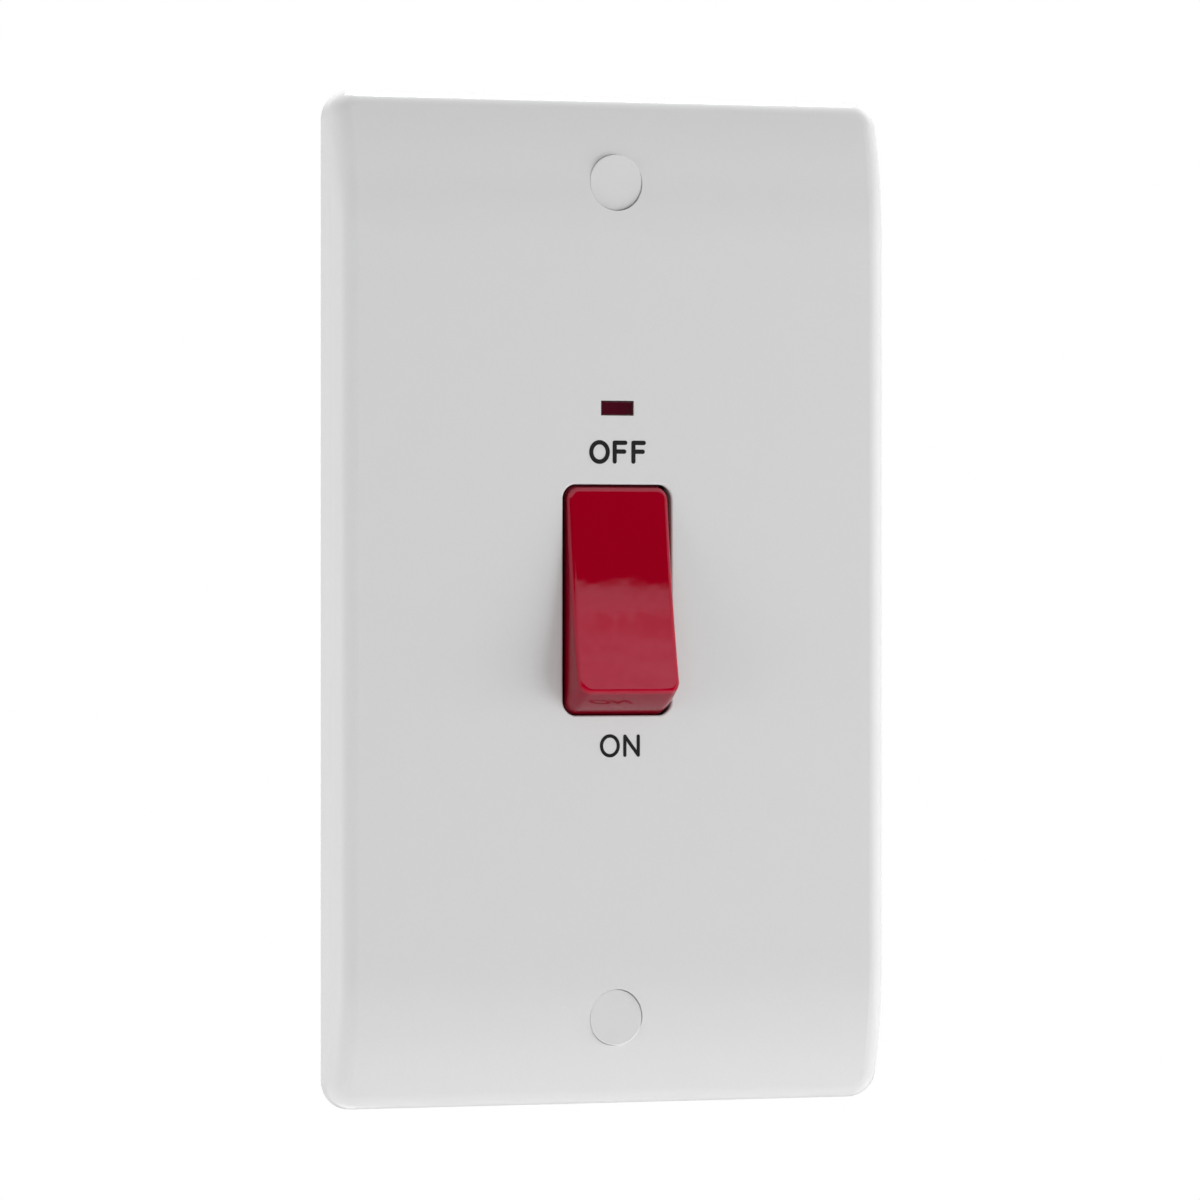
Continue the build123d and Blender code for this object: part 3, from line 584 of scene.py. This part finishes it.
def pen(mesh, start, end, stroke, layer=0):
    """One straight stroke. Where strokes cross, each lies one layer over the one before."""
    slab(mesh, bar_outline(Vector(start), Vector(end), stroke), layer)


print("ink stands", INK_PROUD, "mm proud, each crossing stroke", INK_LAYER, "mm more")

# %% [markdown]
# ## The round letter
# The O is an oval ring, made of four loops of points: the outer and the inner edge, each at the
# front and at the back of the ink. Faces between neighbouring loops close it on every side.

# %% An oval ring of ink
OVAL_STEPS = 56


def oval(mesh, centre, half_width, half_height, depth):
    """One closed loop of points on the plate, depth millimetres behind its face."""
    loop = []
    for step in range(OVAL_STEPS):
        a = 2 * pi * step / OVAL_STEPS
        x = centre.x + half_width * cos(a)
        z = centre.y + half_height * sin(a)
        loop.append(mesh.verts.new((x * MM, face_y + depth * MM, z * MM)))
    return loop


def ring_slab(mesh, centre, width, height, stroke):
    """An oval ring of ink, for the letter O."""
    outer_front, outer_back, inner_front, inner_back = (
        oval(mesh, centre, width / 2 - inset, height / 2 - inset, depth)
        for inset in (0.0, stroke)
        for depth in (-INK_PROUD, INK_SUNK)
    )
    around = (outer_front, inner_front, inner_back, outer_back, outer_front)
    for a, b in zip(around, around[1:]):
        for i in range(OVAL_STEPS):
            j = (i + 1) % OVAL_STEPS
            mesh.faces.new((a[i], a[j], b[j], b[i]))


print("an O has", 4 * OVAL_STEPS, "faces")

# %% [markdown]
# ## The letters
# A letter fits between two X values and has a height. Its strokes are drawn on their centre lines,
# half a stroke in from its edges. The O is drawn a tenth of a millimetre taller than the rest,
# because a round letter of the same height looks smaller.

# %% Letter shapes
O_OVERSHOOT = 0.1
F_ARM_HEIGHT = 0.53
F_ARM_LENGTH = 0.90


def letter(kind, left, right, z, height, stroke):
    """One letter between two X values, centred at height z, in millimetres."""
    mesh = bmesh.new()
    x0, x1 = left + stroke / 2, right - stroke / 2
    z0, z1 = z - height / 2 + stroke / 2, z + height / 2 - stroke / 2
    if kind == "O":
        centre = Vector(((left + right) / 2, z))
        ring_slab(mesh, centre, right - left, height + O_OVERSHOOT, stroke)
    if kind == "F":
        middle = z0 + (z1 - z0) * F_ARM_HEIGHT
        pen(mesh, (x0, z0), (x0, z1), stroke)
        pen(mesh, (x0, z1), (x1, z1), stroke, layer=1)
        pen(mesh, (x0, middle), (x0 + (x1 - x0) * F_ARM_LENGTH, middle), stroke, layer=1)
    if kind == "N":
        pen(mesh, (x0, z0), (x0, z1), stroke)
        pen(mesh, (x0, z1), (x1, z0), stroke, layer=1)
        pen(mesh, (x1, z0), (x1, z1), stroke, layer=2)
    bmesh.ops.recalc_face_normals(mesh, faces=mesh.faces)
    return mesh


print("the F's lower arm stands at", F_ARM_HEIGHT, "of its height")

# %% [markdown]
# ## Ink
# Pad-print ink is nearly black, a little glossy, and uneven where the pad lifted. A fine noise
# lightens it in tiny spots and another makes its skin grainy.

# %% Ink finish
INK_BLACK = (0.012, 0.011, 0.011)
INK_DARK, INK_PALE = (0.010, 0.009, 0.009), (0.018, 0.017, 0.017)


def print_ink():
    """Nearly black, with tiny paler spots."""
    material, tree, shader, place = new_finish("print_ink", INK_BLACK, 0.5)
    shader.inputs["Specular IOR Level"].default_value = 0.25
    spots = noise(tree, place, 3500.0, detail=2.0)
    spotted = ramp(tree, spots, [(0.3, INK_DARK), (0.75, INK_PALE)])
    tree.links.new(spotted, shader.inputs["Base Color"])
    bump(tree, shader, noise(tree, place, 2200.0, detail=1.0), 0.006 * MM)
    return material


ink = print_ink()
print(ink.name, "is ready")

# %% [markdown]
# ## Printing the words
# Each letter is an object of its own, named after its word and its place in it. The letters ride
# on the body that holds the plate, so they stay with it in every pose. Their edges are given in
# millimetres from the plate's middle, as read off the object.

# %% Make the words
OFF_LETTERS = [("O", -4.40, -1.19), ("F", -0.75, 1.54), ("F", 2.17, 4.43)]
ON_LETTERS = [("O", -2.74, 0.37), ("N", 0.90, 3.49)]
OFF_Z, ON_Z = 21.35, -21.05
OFF_HEIGHT, ON_HEIGHT = 3.35, 3.25
OFF_STROKE, ON_STROKE = 0.64, 0.50


def print_word(name, letters, z, height, stroke):
    """One object for each letter of a word."""
    for number, (kind, left, right) in enumerate(letters, start=1):
        mesh = letter(kind, left, right, z, height, stroke)
        data = bpy.data.meshes.new(f"print_{name}_{number}")
        mesh.to_mesh(data)
        mesh.free()
        data.materials.append(ink)
        piece = bpy.data.objects.new(f"print_{name}_{number}", data)
        bpy.context.scene.collection.objects.link(piece)
        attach(piece, "plate_and_base")
        print(piece.name, kind, "faces:", len(data.polygons))


print_word("off", OFF_LETTERS, OFF_Z, OFF_HEIGHT, OFF_STROKE)
print_word("on", ON_LETTERS, ON_Z, ON_HEIGHT, ON_STROKE)

# %% [markdown]
# ## Camera
# The view looks straight along the wall's level, from about 22 degrees to the left, with a long
# lens, so upright edges stay upright and the plate narrows only a little to the right. The
# distance comes from how much larger the near edge is than the far one, and the lens from how
# large the plate is in the frame.

# %% Camera
CAMERA_AZIMUTH = radians(-22.0)
CAMERA_DISTANCE = 1.126
LENS = 232.6
SENSOR = 36.0
SHIFT_RIGHT = 0.0006
CLIP_START = 0.01

camera_data = bpy.data.cameras.new("camera")
camera_data.lens = LENS
camera_data.sensor_width = SENSOR
camera_data.shift_x = SHIFT_RIGHT
camera_data.clip_start = CLIP_START
camera = bpy.data.objects.new("camera", camera_data)
toward_camera = Vector((sin(CAMERA_AZIMUTH), -cos(CAMERA_AZIMUTH), 0.0))
camera.location = toward_camera * CAMERA_DISTANCE
camera.rotation_euler = (pi / 2, 0.0, CAMERA_AZIMUTH)
bpy.context.scene.collection.objects.link(camera)
bpy.context.scene.camera = camera
print("camera at", [round(v, 3) for v in camera.location])

# %% [markdown]
# ## Light
# The photograph is a plain catalogue picture: white all round, with the dark of the room only
# where the camera stands. A polished surface shows that: the white wraps round the edges of the
# plate, and the rocker mirrors the line between the dark and the bright ceiling, which tells its
# dished shape. A dull surface only gathers light. So the sky answers the two kinds of ray in two
# ways, and this cell makes an empty one. Blender would also use a bright sky as a lamp, and would
# then ask it without saying which kind of ray it is, so that is switched off.

# %% An empty sky
world = bpy.data.worlds.new("studio")
bpy.context.scene.world = world
world.use_nodes = True
world.cycles.sampling_method = "NONE"
sky = world.node_tree
sky_shader = sky.nodes["Background"]
sky_shader.inputs["Color"].default_value = (1.0, 1.0, 1.0, 1.0)
direction = sky.nodes.new("ShaderNodeTexCoord").outputs["Generated"]
sideways, backward, up = (axis(sky, direction, name) for name in "XYZ")
print("sky sampled as a lamp:", world.cycles.sampling_method)

# %% [markdown]
# ## What a mirror sees
# In front it is dark, as a room is behind a photographer, and the dark patch is turned a little
# to one side. Round it stands the white of the sides. Above a sharp edge hangs the ceiling, which
# brightens upwards and is mottled by soft clouds, and far below is the white of the table. The
# brightest of the three counts in each direction. Every edge is a soft step on one coordinate.

# %% Dark front, white sides, ceiling and table
SIDES = 0.8
FRONT_TURN = 0.12
FRONT_EDGE = (-0.74, -0.58)
CEILING_EDGE = (0.29, 0.30)
CEILING_RISE = (0.30, 0.42)
CEILING_LEVELS = (0.95, 1.3)
CLOUD_STRETCH = (60.0, 60.0, 30.0)
CLOUD_LEVELS = (0.64, 1.30)
TABLE_EDGE = (-0.72, -0.50)


def sky_math(operation, first, second):
    """One step of arithmetic in the sky."""
    return arithmetic(sky, operation, first, second)


turned = sky_math("ADD", backward, sky_math("MULTIPLY", sideways, FRONT_TURN))
sides = sky_math("MULTIPLY", graded(sky, turned, *FRONT_EDGE, soft=True), SIDES)
mottle = noise(sky, stretched(sky, direction, CLOUD_STRETCH), 1.0, detail=3.0)
clouds = spread(sky, mottle, *CLOUD_LEVELS)
cloudy = sky_math("MULTIPLY", clouds, graded(sky, up, *CEILING_RISE, *CEILING_LEVELS, soft=True))
ceiling = sky_math("MULTIPLY", graded(sky, up, *CEILING_EDGE, soft=True), cloudy)
table = graded(sky, up, *TABLE_EDGE, 1.0, 0.0, soft=True)
mirrored = sky_math("MAXIMUM", sky_math("MAXIMUM", sides, ceiling), table)
print("a mirror sees", SIDES, "at the sides and up to", max(CEILING_LEVELS), "in the ceiling")

# %% [markdown]
# ## What a dull surface sees
# A dull surface only gathers light from everywhere at once, so the dark front would just make it
# dim. It gets an even sky instead, which grows brighter downwards, as light comes back up from a
# pale table. The camera itself sees plain white behind the object.

# %% Join the skies
SKY_DULL = 0.435
SKY_DULL_SLOPE = 0.38

slope = sky_math("MULTIPLY", up, -SKY_DULL * SKY_DULL_SLOPE)
gathered = sky_math("ADD", slope, SKY_DULL)
path = sky.nodes.new("ShaderNodeLightPath")
dull = path.outputs["Is Diffuse Ray"]
not_dull = sky_math("SUBTRACT", 1.0, dull)
seen_dull = sky_math("MULTIPLY", gathered, dull)
strength = sky_math("ADD", seen_dull, sky_math("MULTIPLY", mirrored, not_dull))
strength = sky_math("MAXIMUM", strength, path.outputs["Is Camera Ray"])
sky.links.new(strength, sky_shader.inputs["Strength"])
print("sky nodes:", len(sky.nodes))

# %% [markdown]
# ## Lamps
# The rocker throws a faint shadow to its left and hardly one to its right, so the main light
# stands to the right of the camera, a little below, with another beside it that lights the right
# edge. A third keeps the left edge bright, and a fourth fills in from the front. Polished
# surfaces don't show these four, as in a studio where they shine through a wide sheet. Two more
# stand above and below, behind the level of the face, so that they pass the face by and catch
# only what turns up or down: the rounded edges and the rims of the caps. All are large squares,
# so their shadows are soft.

# %% Lamps
def soft_lamp(name, place, size, power, mirrored=True):
    """A square area lamp that faces the object. Mirrors see it unless mirrored is false."""
    data = bpy.data.lights.new(name, "AREA")
    data.shape = "SQUARE"
    data.size = size
    data.energy = power
    lamp = bpy.data.objects.new(name, data)
    lamp.location = place
    lamp.rotation_euler = (-Vector(place)).to_track_quat("-Z", "Y").to_euler()
    lamp.visible_glossy = mirrored
    bpy.context.scene.collection.objects.link(lamp)
    print(name, power, "W")


soft_lamp("lamp_right", (1.02, -0.86, -0.25), 0.7, 6.8, mirrored=False)
soft_lamp("lamp_far_right", (1.15, -0.18, -0.10), 0.6, 5.6, mirrored=False)
soft_lamp("lamp_left", (-1.10, -0.09, -0.1), 0.6, 6.4, mirrored=False)
soft_lamp("lamp_front", (0.15, -1.35, -0.1), 0.6, 1.9, mirrored=False)
soft_lamp("lamp_above", (0.22, 0.38, 0.90), 0.4, 11.5)
soft_lamp("lamp_below", (0.0, 0.30, -0.50), 0.3, 0.35)

# %% [markdown]
# ## Floor
# The photograph shows no floor, only white. A pale floor still lies below the plate, out of the
# camera's view, so that light comes back up from it and other views have something to stand the
# object over. Near the object it is a real surface that takes the shadow. Further off it fades,
# for the camera only, into the same white as the background, so that no edge of it ever shows.

# %% Floor finish
FLOOR_WHITE = (0.79, 0.79, 0.79)
FLOOR_DARKER, FLOOR_LIGHTER = (0.78, 0.78, 0.78), (0.80, 0.80, 0.80)
FADE_START, FADE_END = 0.6, 1.6


def pale_floor():
    """Pale paint that fades into white with the distance from the middle, for the camera."""
    material, tree, shader, place = new_finish("pale_floor", FLOOR_WHITE, 0.7)
    slow = ramp(tree, noise(tree, place, 2.0), [(0.3, FLOOR_DARKER), (0.7, FLOOR_LIGHTER)])
    tree.links.new(slow, shader.inputs["Base Color"])
    reach = tree.nodes.new("ShaderNodeVectorMath")
    reach.operation = "LENGTH"
    tree.links.new(stretched(tree, place, (1, 1, 0)), reach.inputs[0])
    fade = graded(tree, reach.outputs["Value"], FADE_START, FADE_END, soft=True)
    seen = tree.nodes.new("ShaderNodeLightPath")
    share = arithmetic(tree, "MULTIPLY", fade, seen.outputs["Is Camera Ray"])
    white = tree.nodes.new("ShaderNodeEmission")
    mix = tree.nodes.new("ShaderNodeMixShader")
    tree.links.new(share, mix.inputs[0])
    tree.links.new(shader.outputs[0], mix.inputs[1])
    tree.links.new(white.outputs[0], mix.inputs[2])
    tree.links.new(mix.outputs[0], tree.nodes["Material Output"].inputs["Surface"])
    return material


floor_paint = pale_floor()
print("the floor fades from", FADE_START, "to", FADE_END, "m")

# %% [markdown]
# ## Laying the floor
# The floor is one square face.

# %% Floor
FLOOR_DROP = 0.60
FLOOR_SIZE = 6.0

half = FLOOR_SIZE / 2
level = plate_low.z - FLOOR_DROP
square = [(-half, -half, level), (half, -half, level), (half, half, level), (-half, half, level)]
floor_mesh = bpy.data.meshes.new("floor")
floor_mesh.from_pydata(square, [], [(0, 1, 2, 3)])
floor_mesh.materials.append(floor_paint)
floor = bpy.data.objects.new("floor", floor_mesh)
bpy.context.scene.collection.objects.link(floor)
print("floor at", round(level, 3), "m")

# %% [markdown]
# ## Finish
# The view is shown as it is, with no film look.

# %% Finish
bpy.context.scene.view_settings.view_transform = "Standard"
